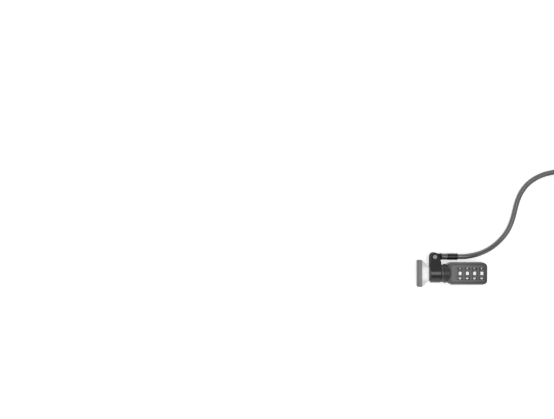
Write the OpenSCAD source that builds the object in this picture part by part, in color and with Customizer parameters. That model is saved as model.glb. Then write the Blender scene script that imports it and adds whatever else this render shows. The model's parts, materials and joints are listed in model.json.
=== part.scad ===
// Combination cable lock for a portable computer, with the slot adapter that it locks into.
// X runs along the lock from the adapter's glued face, Y across it, and Z up. X = Y = Z = 0 is the
// middle of the glued face, on the axis that the dials, the spindle and the collar share.

/* [Slot adapter] */
// Thickness of the foam pad that glues the adapter on
pad_t = 0.8; // [0.5:0.1:1.5]
// Thickness of the backing plate
plate_t = 3; // [2.6:0.1:4]
// Width of the backing plate
plate_w = 23; // [21:0.5:30]
// Height of the backing plate
plate_h = 11; // [10:0.5:16]
// Length of the boss between the plate and the lock's nose
boss_l = 5.8; // [5.2:0.1:8]
// Width of the boss at its tip
boss_tip_w = 12; // [11.5:0.5:15]
// Long side of the security slot
slot_l = 7; // [6.6:0.1:8]
// Short side of the security slot
slot_w = 3; // [2.9:0.1:4]
// Wall that the T-bar hooks behind
slot_wall = 1.8; // [1.2:0.1:2.2]

/* [Nose and spindle] */
// Diameter of the barrel that the collar turns on
barrel_d = 11; // [9.5:0.1:12.5]
// Diameter of the spindle
spindle_d = 2.6; // [2.2:0.1:2.8]
// Thickness of the T-bar
tbar_t = 1.4; // [1:0.1:1.6]
// Length of the T-bar across the slot
tbar_l = 6.2; // [5:0.1:6.4]
// Outer diameter of the nose ring
nose_ring_d = 13.2; // [12:0.1:15]
// Thickness of the nose ring
nose_ring_t = 1.15; // [0.8:0.05:2]
// Distance of each anti-turn pin from the axis
turn_pin_offset = 2.5; // [2.4:0.05:2.6]
// Diameter of each anti-turn pin
turn_pin_d = 1.5; // [1:0.1:1.6]

/* [Collar and hinge] */
// Outer diameter of the swivel collar
collar_d = 16; // [14.5:0.1:18]
// Length of the swivel collar
collar_l = 9; // [8:0.1:12]
// Radius of the ears' round ends
ear_r = 3.6; // [3.2:0.1:4.2]
// Height over both ears
ear_h = 15; // [12:0.5:16]
// Diameter of the hinge rivet
rivet_d = 3; // [2.4:0.1:3.4]
// Diameter of the rivet's heads
rivet_head_d = 3.7; // [3.5:0.1:5]
// Thickness of the cable eye between the ears
eye_t = 4.2; // [3:0.1:5]

/* [Neck] */
// Outer diameter of the washer behind the collar
washer_d = 15.4; // [13:0.1:17]
// Thickness of that washer
washer_t = 2.2; // [1.5:0.1:4]
// Diameter of the neck's flange
flange_d = 16.4; // [15.8:0.1:18]
// Thickness of the neck's flange
flange_t = 2.6; // [2:0.1:4]
// Diameter of the neck inside the housing
neck_d = 15.4; // [14:0.1:15.6]

/* [Housing] */
// Wall beside the dials
side_wall = 0.75; // [0.6:0.05:2]
// Wall under the dials
floor_wall = 0.75; // [0.6:0.05:2]
// Distance from the housing's front to the first dial's middle
first_dial = 10.7; // [10:0.1:14]
// Wall behind the last dial
rear_wall = 0.95; // [0.8:0.05:2]
// Thickness of the end cap
cap_t = 2; // [1.8:0.1:4]
// Radius of the upper long edges
top_edge_r = 3; // [1:0.1:3.4]
// Radius of the lower long edges
low_edge_r = 5.4; // [2:0.1:6]
// Radius of the rear corners seen from above
rear_corner_r = 4.5; // [1:0.5:6]
// Radius of the rear edges seen from the side
rear_edge_r = 2.8; // [0.6:0.1:4]
// Length of the tapered front
front_taper_l = 3.6; // [2:0.1:6]

/* [Dials] */
// Diameter of the dials
dial_d = 17; // [16.4:0.1:22]
// Thickness of the dials
dial_t = 3.8; // [3:0.1:4.6]
// Distance from dial to dial
dial_pitch = 6.15; // [5.8:0.05:8]
// Height of the dials above the housing's top
dial_show = 0.5; // [0.3:0.05:1]
// Length of each window across the housing
window_l = 10.3; // [9:0.1:12]
// Diameter of the code rings inside the dials
code_ring_d = 9.2; // [9:0.1:10]
// Width of the grip bar between two digits
grip_bar_w = 0.9; // [0.6:0.1:1.2]
// Width of the groove on each side of a grip bar
grip_groove_w = 0.55; // [0.4:0.05:0.8]

/* [Button] */
// Diameter of the push button
button_d = 6.8; // [6:0.1:7.2]
// Travel of the push button
button_travel = 1.5; // [1:0.1:1.5]

/* [Cable] */
// Diameter of the coated cable
cable_d = 4.4; // [4:0.1:4.6]
// Diameter of the sleeve at the lock's end
sleeve_d = 5.6; // [5.4:0.1:7]
// Length of that sleeve
sleeve_l = 9.2; // [6:0.1:12]

/* [Hidden] */

$fn = 64;
dial_count = 4;
digits = 10;
eps = 0.01;

// Clearances
run_gap = 0.07;    // a pin or shaft that turns in its bore
seat_gap = 0.05;   // a piece that is pressed or glued in its seat
side_gap = 0.2;    // beside a turning piece
swing_gap = 0.3;   // between the sleeve and the housing's corners as the collar turns
dial_gap = 0.25;   // round the dials

// Colours
housing_grey = [0.42, 0.415, 0.42];
cap_grey = [0.36, 0.355, 0.36];
black_metal = [0.10, 0.10, 0.105];
black_plastic = [0.06, 0.06, 0.06];
steel = [0.60, 0.60, 0.61];
cable_black = [0.20, 0.20, 0.205];

// Housing section, seen along the axis
body_w = dial_d + 2 * (dial_gap + side_wall);
body_top = dial_d / 2 - dial_show;
axis_height = dial_d / 2 + dial_gap + floor_wall;
function corner_reach(w, h, r) = norm([w / 2 - r, h - r]) + r;
body_reach = max(corner_reach(body_w, body_top, top_edge_r), corner_reach(body_w, axis_height, low_edge_r));

// Places along the axis
nose_x = pad_t + plate_t + boss_l;
slot_x = nose_x - slot_wall;
tbar_x = slot_x - swing_gap;
collar_x = nose_x + nose_ring_t + 0.15;
washer_x = collar_x + collar_l + side_gap;
flange_x = washer_x + washer_t;
neck_x = flange_x + flange_t;
body_x = neck_x + side_gap;
neck_l = 5.1;
neck_end = neck_x + neck_l;
barrel_end = neck_x + 2.2;
function dial_x(i) = body_x + first_dial + dial_pitch * (i - 1);
window_w = dial_t + 2 * side_gap;
cap_x = dial_x(dial_count) + window_w / 2 + rear_wall;
body_end = cap_x + cap_t;

// Hinge and cable end
pivot_x = collar_x + ear_r;
pivot_y = body_reach + swing_gap + sleeve_d / 2;
eye_neck = 4.7;
socket_l = 2;
socket_d = 5.9;
socket_x = pivot_x + eye_neck;
ferrule_d = 5.3;
ferrule_show = 4.3;
sleeve_x = socket_x + socket_l + ferrule_show;
ferrule_x = socket_x + 1;
ferrule_end = sleeve_x + 0.6;
sleeve_end = sleeve_x + sleeve_l;

// Core of the lock: the spindle, the plunger and the code rings
rod_d = 3.8;
fin_r = 3.6;
fin_t = 0.8;
fin_w = 1.6;
gate_r = fin_r + side_gap;
gate_w = fin_w + 2 * side_gap;
fin_room = fin_t + 0.6;
ring_past = 0.25;
core_d = code_ring_d + 2 * run_gap;
spring_x = barrel_end;
spring_l = 4;
spring_seat = spring_x + spring_l;
spring_collar_t = 0.8;
function ring_end(i) = dial_x(i) + window_w / 2 + ring_past;
function ring_front(i) =
    max(ring_end(i) - dial_pitch + side_gap, spring_seat + spring_collar_t + side_gap);
step_x = barrel_end - 7.6;
cross_pin_x = barrel_end - 3.6;
plunger_x = step_x + 2;
spindle_end = cross_pin_x + 1.9;
socket_end = spindle_end + button_travel + side_gap;
cross_pin_d = 0.7;
cam_steps = 6;
button_flat = 0.5;
button_head = 1.2;
button_end = body_end - 0.2;
button_front = button_end - button_head;
dish_r = 16;
dish_depth = 0.22;
stem_d = 2.4;
stem_l = 0.7;

// Ears, pins and small fillets
key_w = 1.2;
key_h = 0.4;
edge = 0.4;
split_z = -low_edge_r + 1.4;
cap_pin_d = 1.2;
cap_pin_r = body_reach - 1.3;
cap_pin_depth = 0.7;
cap_pin_l = 3;
spigot_l = rear_wall - ring_past - dial_gap;
panel_depth = 0.3;

// Leaf spring that the dials click on
detent_angle = 45;
detent_w = 2.4;
detent_over = 2.4;
detent_l = dial_x(dial_count) - dial_x(1) + detent_over + 1.8;
detent_z = -dial_d / 2 - dial_gap - 0.45;

// Free cable. Points are measured from the nose, in X and Y, with their height above the desk.
cable_r = cable_d / 2;
cable_sides = 8;
run_route = [[31.4, 14.4, 9.4], [37, 15.2, 8.9], [42, 16.3, 7.9], [47.2, 18, 6.5], [52.5, 20.5, 5],
    [57.7, 23.9, 3.7], [63, 28.6, 2.8], [68, 34.6, 2.4], [71.5, 41.2, 2.3], [73.9, 48.2, 2.3],
    [75.6, 55.2, 2.3], [77.6, 62.2, 2.3], [80.6, 69, 2.3], [85.1, 75.2, 2.3], [91, 80.2, 2.3],
    [98, 83.9, 2.3], [105.8, 86.2, 2.3], [114, 87.5, 2.3], [122.4, 88, 2.3], [130.8, 88.1, 2.7],
    [138.2, 88.1, 3.1], [142.6, 88.1, 3.1]];

// Coil: four layers that spiral in and out
coil_centre = [147, 57];
coil_mid_r = 25;
coil_step = 4.9;
layer_turns = 2.5;
coil_turns = 4 * layer_turns - 1 / 6;
coil_sides = 6;
coil_rings = 24;
coil_low = 3.1;
coil_out_r = coil_mid_r + coil_step * layer_turns / 2;
coil_in_r = coil_mid_r - coil_step * layer_turns / 2;

// Tail and loop at the far end, measured from the coil's middle
tail_route = [[-19.9, 24.6, 18.4], [-14.6, 28.4, 19.8], [-8.4, 30.6, 21.3], [-1.4, 31.1, 22.4],
    [5.8, 30.2, 22.9], [12.6, 26.7, 23], [17.4, 20.7, 23], [19.3, 13.2, 23], [17.1, 4.2, 23]];
loop_place = [8.9, -5.2, 23];
loop_turn = -120;
strand_gap = 4.8;
ferrule_l = 12;
loop_half = [[-ferrule_l / 2, strand_gap / 2], [0, strand_gap / 2], [4, 3], [7.6, 4.9], [10.7, 7.9],
    [15, 11.5], [20.6, 13], [26.2, 12], [31, 8.6], [33.8, 3.2]];

tie_t = 0.8;
tie_w = 10;
tie_angle = 200;

function unit(v) = v / norm(v);
function mirrored(route) = [for (i = [len(route) - 1:-1:0]) [route[i].x, -route[i].y]];

// Where the coil's middle line is after so many turns, measured from the coil's middle
function coil_point(turn) =
    let (
        layer = floor(turn / layer_turns + 0.5),
        from_fold = turn - layer * layer_turns,
        in_layer = abs(from_fold),
        r = layer % 2 == 0 ? coil_out_r - coil_step * in_layer : coil_in_r + coil_step * in_layer,
        climbing = layer > 0 && layer < 4 && in_layer < 0.25,
        below = turn < layer * layer_turns ? layer - 1 : layer,
        climb = climbing ? layer - 0.5 + 0.5 * sin(360 * from_fold) : max(below, 0),
        angle = 90 - 360 * turn
    )
    [r * cos(angle), r * sin(angle), coil_low + coil_step * climb];

function route_direction(route, i) =
    unit(route[min(i + 1, len(route) - 1)] - route[max(i - 1, 0)]);

// One ring of a tube, square to the direction t
function tube_ring(p, t, r, sides) =
    let (side = unit(cross(t, [0, 0, 1])), up = cross(side, t))
    [for (k = [0:sides - 1]) p + r * (cos(360 * k / sides) * side + sin(360 * k / sides) * up)];

// A tube along a route, one ring for each of its points
module tube(route, r, sides) {
    n = len(route);
    points = [for (i = [0:n - 1]) each tube_ring(route[i], route_direction(route, i), r, sides)];
    walls = [for (i = [0:n - 2]) for (k = [0:sides - 1])
        let (a = i * sides + k, b = i * sides + (k + 1) % sides)
        each [[a, b, b + sides], [a, b + sides, a + sides]]];
    ends = [for (k = [1:sides - 2]) each [[0, k + 1, k],
        [(n - 1) * sides, (n - 1) * sides + k, (n - 1) * sides + k + 1]]];
    polyhedron(points = points, faces = concat(walls, ends), convexity = 10);
}

module rod_x(d, from, to) {
    translate([from, 0, 0]) rotate([0, 90, 0]) cylinder(d = d, h = to - from);
}

module tube_x(d_out, d_in, from, to) {
    difference() {
        rod_x(d_out, from, to);
        rod_x(d_in, from - 1, to + 1);
    }
}

// A ring about X with both outer edges chamfered
module chamfered_ring(d_out, d_in, from, to, c) {
    rotate([0, 90, 0]) rotate_extrude()
        polygon([[d_in / 2, from], [d_out / 2 - c, from], [d_out / 2, from + c], [d_out / 2, to - c],
            [d_out / 2 - c, to], [d_in / 2, to]]);
}

// ---- Housing ----

// Section across the lock, Y and Z
module body_section() {
    half = body_w / 2;
    for (side = [-1, 1]) {
        translate([side * (half - top_edge_r), body_top - top_edge_r]) circle(r = top_edge_r);
        translate([side * (half - low_edge_r), low_edge_r - axis_height]) circle(r = low_edge_r);
    }
    translate([-half, low_edge_r - axis_height])
        square([body_w, axis_height + body_top - top_edge_r - low_edge_r]);
    translate([top_edge_r - half, 0]) square([body_w - 2 * top_edge_r, body_top]);
    translate([low_edge_r - half, -axis_height]) square([body_w - 2 * low_edge_r, axis_height]);
}

// Outline from above, X and Y, with a tapered front and round rear corners
module body_plan() {
    half = body_w / 2;
    front_half = half - 2;
    straight_end = body_end - rear_corner_r;
    polygon([[body_x, -front_half], [body_x + front_taper_l, -half], [straight_end, -half],
        [straight_end, half], [body_x + front_taper_l, half], [body_x, front_half]]);
    translate([straight_end - eps, rear_corner_r - half])
        square([rear_corner_r + eps, body_w - 2 * rear_corner_r]);
    for (side = [-1, 1]) translate([straight_end, side * (half - rear_corner_r)]) circle(r = rear_corner_r);
}

// Outline from the side, X and Z, with ramps at the front and rounded rear edges
module body_profile() {
    r = rear_edge_r;
    straight_end = body_end - r;
    polygon([[body_x, 2 - axis_height], [body_x + front_taper_l, -axis_height],
        [straight_end, -axis_height], [straight_end, body_top], [body_x + front_taper_l, body_top],
        [body_x, body_top - 3.1]]);
    translate([straight_end - eps, r - axis_height]) square([r + eps, axis_height + body_top - 2 * r]);
    for (z = [r - axis_height, body_top - r]) translate([straight_end, z]) circle(r = r);
}

module body_form() {
    intersection() {
        translate([body_x, 0, 0]) rotate([90, 0, 90]) linear_extrude(body_end - body_x) body_section();
        translate([0, 0, -axis_height]) linear_extrude(axis_height + body_top) body_plan();
        rotate([90, 0, 0]) linear_extrude(body_w, center = true) body_profile();
    }
}

// Everything that is cut out of the two shells
module body_cuts() {
    ridge_x = neck_x + 2.5;
    // Seat of the neck, with a ridge left standing for the neck's groove
    rod_x(neck_d + 2 * seat_gap, body_x - 1, ridge_x);
    rod_x(neck_d - 1.4 + 2 * seat_gap, ridge_x - eps, ridge_x + 1);
    rod_x(neck_d + 2 * seat_gap, ridge_x + 1 - eps, neck_end + seat_gap);
    rod_x(core_d, neck_end, cap_x + 1);
    for (i = [1:dial_count]) {
        rod_x(dial_d + 2 * dial_gap, dial_x(i) - window_w / 2, dial_x(i) + window_w / 2);
        translate([dial_x(i) - window_w / 2, -window_l / 2, body_top - 2.2]) cube([window_w, window_l, 4]);
    }
    // Shallow panel round the windows
    panel_x = dial_x(1) - window_w / 2 - 1.9;
    translate([panel_x, -window_l / 2 - 0.5, body_top - panel_depth])
        cube([cap_x - 0.3 - panel_x, window_l + 1, 1]);
    // Channel of the detent spring
    rotate([detent_angle, 0, 0])
        translate([dial_x(1) - detent_over - side_gap, -detent_w / 2 - side_gap, detent_z - seat_gap])
            cube([detent_l + 2 * side_gap, detent_w + 2 * side_gap, 1.6]);
    cap_pin_places() rod_x(cap_pin_d + 2 * seat_gap, cap_x - cap_pin_l - side_gap, cap_x + 1);
}

// The two lower corners have room for a pin
module cap_pin_places() {
    angle = -atan2(axis_height - low_edge_r, body_w / 2 - low_edge_r);
    for (side = [-1, 1]) translate([0, side * cap_pin_r * cos(angle), cap_pin_r * sin(angle)]) children();
}

module upper_shell() {
    color(housing_grey) difference() {
        intersection() {
            body_form();
            translate([body_x - 1, -body_w, split_z]) cube([cap_x - body_x + 1, 2 * body_w, 2 * dial_d]);
        }
        body_cuts();
    }
}

module base_cover() {
    color(housing_grey) difference() {
        intersection() {
            body_form();
            translate([body_x - 1, -body_w, split_z - dial_d]) cube([cap_x - body_x + 1, 2 * body_w, dial_d]);
        }
        body_cuts();
    }
}

module button_hole(extra) {
    intersection() {
        rod_x(button_d + 2 * extra, cap_x - 1, body_end + 1);
        translate([cap_x - 1, -button_d / 2 + button_flat - extra, -button_d])
            cube([cap_t + 2, button_d - 2 * button_flat + 2 * extra, 2 * button_d]);
    }
}

module end_cap() {
    color(cap_grey) difference() {
        union() {
            intersection() {
                body_form();
                translate([cap_x, -body_w, -dial_d]) cube([cap_t + 1, 2 * body_w, 2 * dial_d]);
            }
            // A spigot centres the cap in both shells
            rod_x(core_d - 2 * seat_gap, cap_x - spigot_l, cap_x + eps);
        }
        button_hole(0.1);
        cap_pin_places() rod_x(cap_pin_d + 2 * seat_gap, cap_x - 1, cap_x + cap_pin_depth + seat_gap);
    }
}

module cap_pins() {
    color(steel) cap_pin_places() rod_x(cap_pin_d, cap_x - cap_pin_l, cap_x + cap_pin_depth);
}

// ---- Neck, barrel and nose ----

module barrel_pin_places() {
    for (side = [-1, 1]) scale([1, side, 1])
        translate([neck_x + 1.1, 3, 0]) rotate([-90, 0, 0]) children();
}

module neck_flange() {
    color(black_metal) difference() {
        union() {
            chamfered_ring(flange_d, barrel_d + 2 * seat_gap, flange_x, neck_x, edge);
            tube_x(neck_d, barrel_d + 2 * seat_gap, neck_x - eps, neck_end);
        }
        tube_x(neck_d + 1, neck_d - 1.4, neck_x + 2.5 - seat_gap, neck_x + 3.5 + seat_gap);
        barrel_pin_places() cylinder(d = 1.6, h = neck_d);
    }
}

module barrel() {
    color(steel) difference() {
        union() {
            rod_x(barrel_d - 2, nose_x, nose_x + nose_ring_t + 0.1);
            rod_x(barrel_d, nose_x + nose_ring_t, barrel_end);
        }
        rod_x(spindle_d + 2 * run_gap, nose_x - 1, step_x + eps);
        rod_x(rod_d + 2 * run_gap, step_x, barrel_end + 1);
        turn_pin_places() rod_x(turn_pin_d + seat_gap, nose_x - 1, nose_x + 3);
        barrel_pin_places() translate([0, 0, -0.1]) cylinder(d = 1.6, h = neck_d);
    }
}

module barrel_pins() {
    color(steel) barrel_pin_places() cylinder(d = 1.5, h = neck_d / 2 - 3.1);
}

module nose_ring() {
    color(black_plastic)
        chamfered_ring(nose_ring_d, barrel_d - 2 + 2 * seat_gap, nose_x, nose_x + nose_ring_t, 0.3);
}

module turn_pin_places() {
    for (side = [-1, 1]) translate([0, side * turn_pin_offset, 0]) children();
}

module anti_turn_pins() {
    color(steel) turn_pin_places() rod_x(turn_pin_d, nose_x - slot_wall + 0.3, nose_x + 2.9);
}

module swivel_washer() {
    color(housing_grey) chamfered_ring(washer_d, barrel_d + 2 * seat_gap, washer_x, flange_x, 0.25);
}

// ---- Collar, hinge and cable end ----

// Plan of the lug that carries the hinge, with a shoulder that the eye's socket swings clear of
module lug_plan() {
    collar_end = collar_x + collar_l;
    shoulder_y = pivot_y - socket_d / 2 - swing_gap;
    translate([pivot_x, pivot_y]) circle(r = ear_r);
    polygon([[pivot_x - ear_r, 0], [collar_end, 0], [collar_end, shoulder_y - 1],
        [collar_end - 0.6, shoulder_y], [pivot_x + ear_r, pivot_y], [pivot_x - ear_r, pivot_y]]);
}

// Side of the lug, Y and Z, with its end's edges rounded
module lug_side() {
    tip = pivot_y + ear_r;
    r = 1.2;
    translate([0, -ear_h / 2]) square([tip - r, ear_h]);
    translate([tip - r - eps, r - ear_h / 2]) square([r + eps, ear_h - 2 * r]);
    for (side = [-1, 1]) translate([tip - r, side * (ear_h / 2 - r)]) circle(r = r);
}

module swivel_collar() {
    slot_t = eye_t + 2 * 0.25;
    color(black_metal) difference() {
        union() {
            chamfered_ring(collar_d, barrel_d - 1, collar_x, collar_x + collar_l, edge);
            intersection() {
                linear_extrude(ear_h, center = true) lug_plan();
                translate([collar_x, 0, 0]) rotate([90, 0, 90]) linear_extrude(collar_l) lug_side();
            }
        }
        rod_x(barrel_d + 2 * run_gap, collar_x - 1, collar_x + collar_l + 1);
        translate([collar_x - 1, pivot_y - ear_r - 0.1, -slot_t / 2]) cube([collar_l + 2, 3 * ear_r, slot_t]);
        translate([pivot_x, pivot_y, -ear_h]) cylinder(d = rivet_d + 2 * seat_gap, h = 2 * ear_h);
    }
}

module hinge_rivet() {
    head_h = 0.45;
    color(steel) translate([pivot_x, pivot_y, 0]) {
        cylinder(d = rivet_d, h = ear_h, center = true);
        for (side = [-1, 1]) scale([1, 1, side]) translate([0, 0, ear_h / 2]) rotate_extrude()
            polygon([[0, 0], [rivet_head_d / 2, 0], [rivet_head_d / 2, head_h / 3],
                [rivet_head_d / 2 - 0.5, head_h], [0, head_h]]);
    }
}

// Moves to the cable's middle line, beside the housing
module beside() {
    translate([0, pivot_y, 0]) children();
}

module cable_eye() {
    tang_r = ear_r - 0.3;
    color(black_metal) difference() {
        union() {
            translate([pivot_x, pivot_y, 0]) cylinder(r = tang_r, h = eye_t, center = true);
            beside() translate([pivot_x, -2.6, -eye_t / 2]) cube([eye_neck + 1, 5.2, eye_t]);
            beside() chamfered_ring(socket_d, 1, socket_x, socket_x + socket_l, edge);
            beside() rod_x(2, socket_x + eps, socket_x + 1);
        }
        beside() rod_x(ferrule_d + 2 * seat_gap, ferrule_x, socket_x + socket_l + 1);
        translate([pivot_x, pivot_y, 0]) cylinder(d = rivet_d + 2 * run_gap, h = 2 * eye_t, center = true);
    }
}

module crimp_ferrule() {
    color(steel) beside() difference() {
        rod_x(ferrule_d, ferrule_x, ferrule_end);
        // A deep groove next to the eye, and two crimp marks
        tube_x(ferrule_d + 1, ferrule_d - 1.4, socket_x + socket_l + 0.05, socket_x + socket_l + 0.5);
        for (k = [0:1])
            tube_x(ferrule_d + 1, ferrule_d - 0.3, sleeve_x - 1.5 - 1.3 * k, sleeve_x - 0.9 - 1.3 * k);
    }
}

module cable_sleeve() {
    color(black_plastic) beside() difference() {
        chamfered_ring(sleeve_d, cable_d + 2 * seat_gap, sleeve_x, sleeve_end, 0.3);
        rod_x(ferrule_d + 2 * seat_gap, sleeve_x - 1, ferrule_end);
    }
}

// ---- Spindle, plunger and button ----

module lock_spindle() {
    color(steel) difference() {
        union() {
            rod_x(spindle_d, tbar_x - tbar_t / 2, spindle_end);
            intersection() {
                translate([tbar_x - tbar_t, -spindle_d / 2, -tbar_l / 2]) cube([tbar_t, spindle_d, tbar_l]);
                rod_x(tbar_l, tbar_x - tbar_t - 1, tbar_x + 1);
            }
        }
        translate([cross_pin_x, 0, 0]) cylinder(d = cross_pin_d + seat_gap, h = 2 * rod_d, center = true);
    }
}

module cross_pin() {
    color(steel) translate([cross_pin_x, 0, 0]) cylinder(d = cross_pin_d, h = rod_d - 0.1, center = true);
}

module spindle_clip() {
    color(steel) tube_x(rod_d - 0.1, spindle_d + seat_gap, step_x + 0.1, step_x + 0.4);
}

module plunger() {
    color(steel) difference() {
        union() {
            rod_x(rod_d, plunger_x, button_front);
            rod_x(stem_d, button_front - eps, button_front + stem_l);
            rod_x(2 * fin_r, spring_seat, spring_seat + spring_collar_t);
            for (i = [1:dial_count])
                translate([ring_end(i) - fin_t - 0.3, -fin_w / 2, -fin_r]) cube([fin_t, fin_w, 2 * fin_r]);
        }
        rod_x(spindle_d + 2 * run_gap, plunger_x - 1, socket_end);
        // Helical cam slots: the cross pin turns a quarter turn over the button's travel
        for (k = [0:cam_steps])
            translate([cross_pin_x + button_travel * k / cam_steps, 0, 0]) rotate([90 * k / cam_steps, 0, 0])
                cylinder(d = cross_pin_d + 0.4, h = 2 * rod_d, center = true);
    }
}

module push_button() {
    color(black_metal) difference() {
        intersection() {
            button_hole(0);
            rod_x(2 * button_d, button_front, button_end);
        }
        rod_x(stem_d + 2 * seat_gap, button_front - 1, button_front + stem_l + seat_gap);
        // Dished for the fingertip
        translate([button_end + dish_r - dish_depth, 0, 0]) sphere(r = dish_r, $fn = 180);
    }
}

module return_spring() {
    color(steel) tube_x(rod_d + 2.8, rod_d + 0.8, spring_x, spring_seat);
}

module detent_spring() {
    color(steel) rotate([detent_angle, 0, 0]) translate([dial_x(1) - detent_over, -detent_w / 2, detent_z])
        cube([detent_l, detent_w, 0.3]);
}

// ---- Dials and code rings ----

module dial(i) {
    c = 0.35;
    bore = code_ring_d + 2 * seat_gap;
    groove_angle = (grip_bar_w + grip_groove_w) / dial_d * 180 / PI;
    color(black_plastic) translate([dial_x(i), 0, 0]) {
        difference() {
            chamfered_ring(dial_d, bore, -dial_t / 2, dial_t / 2, c);
            for (k = [0:digits - 1]) for (side = [-1, 1])
                rotate([360 * (k + 0.5) / digits + side * groove_angle, 0, 0])
                    translate([0, 0, dial_d / 2]) rotate([0, 90, 0])
                        cylinder(d = grip_groove_w, h = 2 * dial_t, center = true);
        }
        translate([-dial_t / 2, -key_w / 2, -bore / 2 - 0.3]) cube([dial_t, key_w, key_h + 0.3]);
    }
}

module code_ring(i) {
    front = ring_front(i);
    color(steel) difference() {
        tube_x(code_ring_d, rod_d + 2 * side_gap, front, ring_end(i));
        rod_x(2 * gate_r, ring_end(i) - fin_room, ring_end(i) + 1);
        intersection() {
            translate([front - 1, -gate_w / 2, -gate_r]) cube([dial_pitch + 2, gate_w, 2 * gate_r]);
            rod_x(2 * gate_r, front - 1, ring_end(i) + 1);
        }
        // Keyway that the dial's key drives
        translate([front - 1, -key_w / 2 - seat_gap, -code_ring_d])
            cube([dial_x(i) + dial_t / 2 + 0.1 - front + 1, key_w + 2 * seat_gap,
                code_ring_d / 2 + key_h + seat_gap]);
    }
}

// ---- Slot adapter ----

module adapter_pad() {
    color(black_plastic) translate([0, -plate_w / 2, -plate_h / 2]) cube([pad_t, plate_w, plate_h]);
}

module adapter_screw_places() {
    for (side = [-1, 1]) translate([0, side * (plate_w / 2 - 4.2), 0]) children();
}

module adapter_plate() {
    r = 1.5;
    color(housing_grey) difference() {
        intersection() {
            translate([pad_t, 0, 0]) rotate([90, 0, 90]) linear_extrude(plate_t) {
                square([plate_w - 2 * r, plate_h], center = true);
                square([plate_w, plate_h - 2 * r], center = true);
                for (y = [-1, 1]) for (z = [-1, 1])
                    translate([y * (plate_w / 2 - r), z * (plate_h / 2 - r)]) circle(r = r);
            }
            translate([pad_t, -plate_w, -plate_h]) cube([plate_t, 2 * plate_w, 2 * plate_h]);
        }
        adapter_screw_places() {
            rod_x(1.6, pad_t - 1, pad_t + plate_t + 1);
            translate([pad_t - eps, 0, 0]) rotate([0, 90, 0]) cylinder(d1 = 3.4, d2 = 1.6, h = 0.9);
        }
    }
}

module adapter_boss() {
    boss_x = pad_t + plate_t;
    h = plate_h - 1.6;
    color([0.85, 0.85, 0.86]) difference() {
        translate([0, 0, -h / 2]) linear_extrude(h)
            polygon([[boss_x, -plate_w / 2 + 0.6], [boss_x + 0.8, -plate_w / 2 + 0.6], [nose_x, -boss_tip_w / 2],
                [nose_x, boss_tip_w / 2], [boss_x + 0.8, plate_w / 2 - 0.6], [boss_x, plate_w / 2 - 0.6]]);
        // Room behind the slot for the T-bar to turn in
        rod_x(tbar_l + 1, boss_x - 1, slot_x);
        translate([boss_x, -slot_l / 2, -slot_w / 2]) cube([boss_l + 1, slot_l, slot_w]);
        adapter_screw_places() rod_x(1.3, boss_x - 1, boss_x + 2);
    }
}

module adapter_screws() {
    color(steel) adapter_screw_places() {
        rod_x(1.2, pad_t + 0.4, pad_t + plate_t + 1.8);
        translate([pad_t + 0.05, 0, 0]) rotate([0, 90, 0]) cylinder(d1 = 3.1, d2 = 1.2, h = 0.9);
    }
}

// ---- Cable ----

// Moves from the nose and the desk to the lock's own origin
module on_desk() {
    translate([nose_x, 0, -axis_height]) children();
}

module round_coil() {
    on_desk() translate([coil_centre.x, coil_centre.y, 0]) children();
}

module cable_run() {
    start = [[ferrule_end - nose_x, pivot_y, axis_height], [sleeve_end - nose_x, pivot_y, axis_height]];
    color(cable_black) on_desk() tube(concat(start, run_route), cable_r, cable_sides);
}

coil_steps = round(coil_turns * coil_rings);
coil_line = [for (k = [0:coil_steps]) coil_point(k / coil_rings)];
coil_tip = coil_point(coil_turns) + cable_d * unit(coil_point(coil_turns) - coil_point(coil_turns - 0.01));

module cable_coil() {
    start = coil_point(0) - [cable_d, 0, 0];
    color(cable_black) round_coil() tube(concat([start], coil_line, [coil_tip]), cable_r, coil_sides);
    gaps = [for (i = [0:2:coil_steps]) for (j = [i + coil_rings / 2:coil_steps]) norm(coil_line[i] - coil_line[j])];
    echo(str("Least gap between the coil's turns: ", min(gaps) - cable_d, " mm"));
}

// Points on the straight way into the ferrule, so far before its front end
function into_ferrule(back) =
    [loop_place.x, loop_place.y] - back * [cos(loop_turn), sin(loop_turn)]
        + strand_gap / 2 * [-sin(loop_turn), cos(loop_turn)];

module cable_tail() {
    last = [for (back = [ferrule_l, ferrule_l / 2]) [each into_ferrule(back), loop_place.z]];
    color(cable_black) round_coil() tube(concat([coil_tip], tail_route, last), cable_r, cable_sides);
}

module loop_frame() {
    round_coil() translate(loop_place) rotate([0, 0, loop_turn]) children();
}

module cable_loop() {
    end = [[0, -strand_gap / 2], [-ferrule_l + 1, -strand_gap / 2]];
    flat = concat(loop_half, [for (p = mirrored(loop_half)) if (p.x > 0) p], end);
    color(cable_black) loop_frame() tube([for (p = flat) [p.x, p.y, 0]], cable_r, cable_sides);
}

module loop_ferrule() {
    d = cable_d + 1;
    color(steel) loop_frame() rotate([0, -90, 0]) difference() {
        linear_extrude(ferrule_l) {
            for (side = [-1, 1]) translate([0, side * strand_gap / 2]) circle(d = d);
            square([d, strand_gap], center = true);
        }
        for (side = [-1, 1]) translate([0, side * strand_gap / 2, -1])
            cylinder(d = cable_d + 2 * seat_gap, h = ferrule_l + 2);
    }
}

// Seen along the turns: the strap goes round all of them
module strap_section(wall) {
    low_r = coil_in_r - cable_r - 0.9 - wall;
    high_r = coil_out_r + cable_r + 0.3 + wall;
    low_z = coil_low - cable_r - 0.1 - wall;
    high_z = coil_low + 3 * coil_step + cable_r + 0.2 + wall;
    r = 1.2 + wall;
    translate([low_r + r, low_z]) square([high_r - low_r - 2 * r, high_z - low_z]);
    translate([low_r, low_z + r]) square([high_r - low_r, high_z - low_z - 2 * r]);
    for (x = [low_r + r, high_r - r]) for (z = [low_z + r, high_z - r]) translate([x, z]) circle(r = r);
}

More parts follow.
